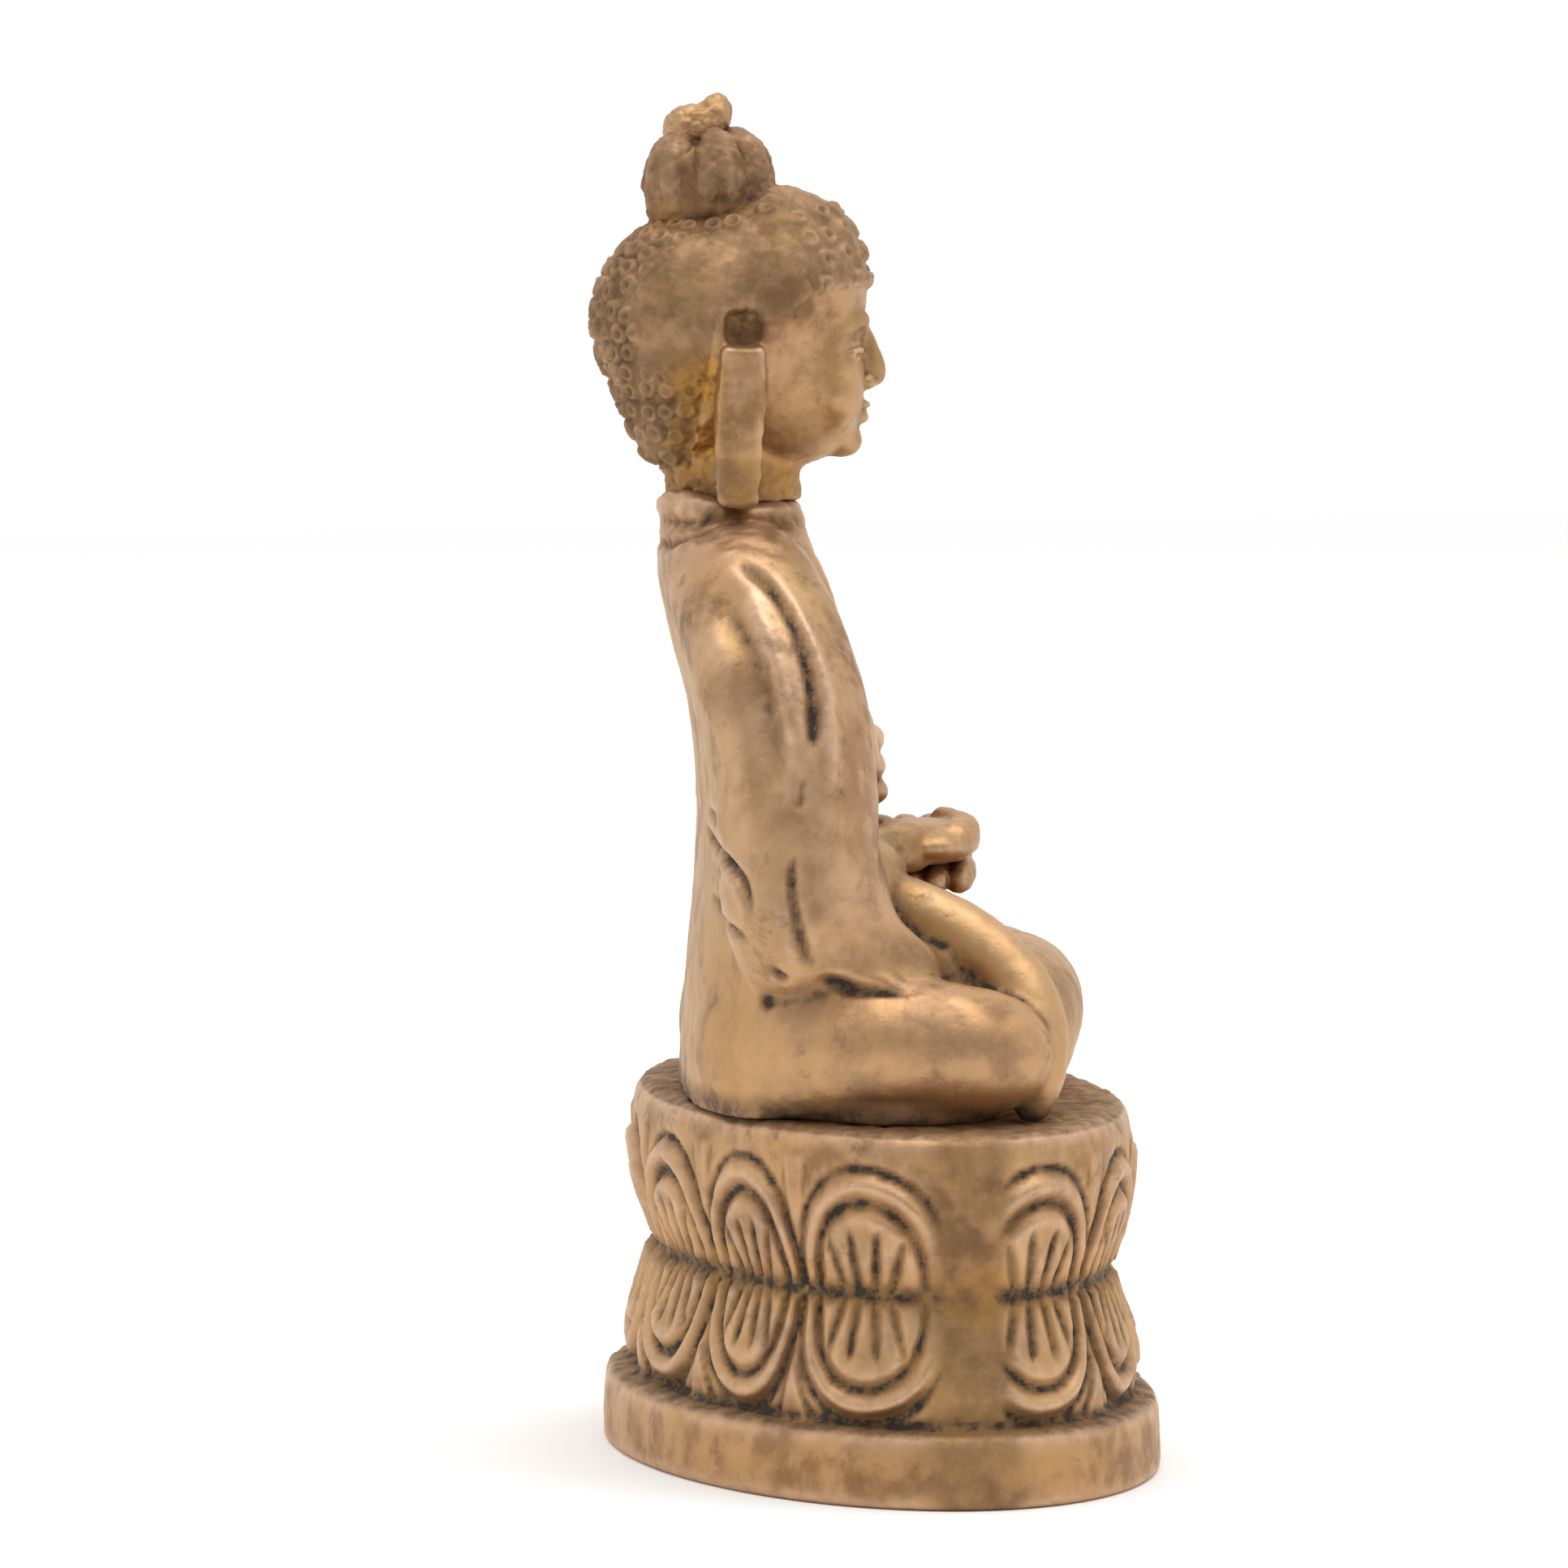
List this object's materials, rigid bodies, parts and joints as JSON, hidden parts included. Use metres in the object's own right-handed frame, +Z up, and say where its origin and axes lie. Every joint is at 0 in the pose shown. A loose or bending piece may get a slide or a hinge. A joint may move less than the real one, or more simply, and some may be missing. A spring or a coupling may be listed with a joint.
{
  "type": "seated buddha statue",
  "caption": "Small cast seated meditating figure with a tall crown knot, hands in the lap, on an oval double-lotus throne with a flat base.",
  "frame": {"origin": "middle of the flat rest face under the throne's plinth", "axes": "+Z up, -Y the way the figure faces, +X to the figure's left"},
  "size_m": [0.041, 0.0243, 0.0599],
  "materials": {
    "throne_bronze": "satin cast bronze with dark dirt in the recesses",
    "figure_bronze": "satin cast bronze, worn rosy on the high parts",
    "plate_brass": "dull sheet brass",
    "pin_brass": "dull drawn brass",
    "stick_wood": "plain juniper wood",
    "scroll_paper": "matte handmade paper",
    "thread_cotton": "matte cotton thread"
  },
  "bodies": {
    "root": {"lotus_throne": "throne_bronze", "base_plate": "plate_brass", "plate_pins": "pin_brass", "tenon_wedges": "pin_brass", "seated_body": "figure_bronze", "head": "figure_bronze", "neck_pin": "pin_brass", "crown_jewel": "figure_bronze", "right_hand": "figure_bronze", "left_hand": "figure_bronze", "life_stick": "stick_wood", "mantra_scroll": "scroll_paper", "scroll_thread": "thread_cotton"}
  },
  "joints": []
}
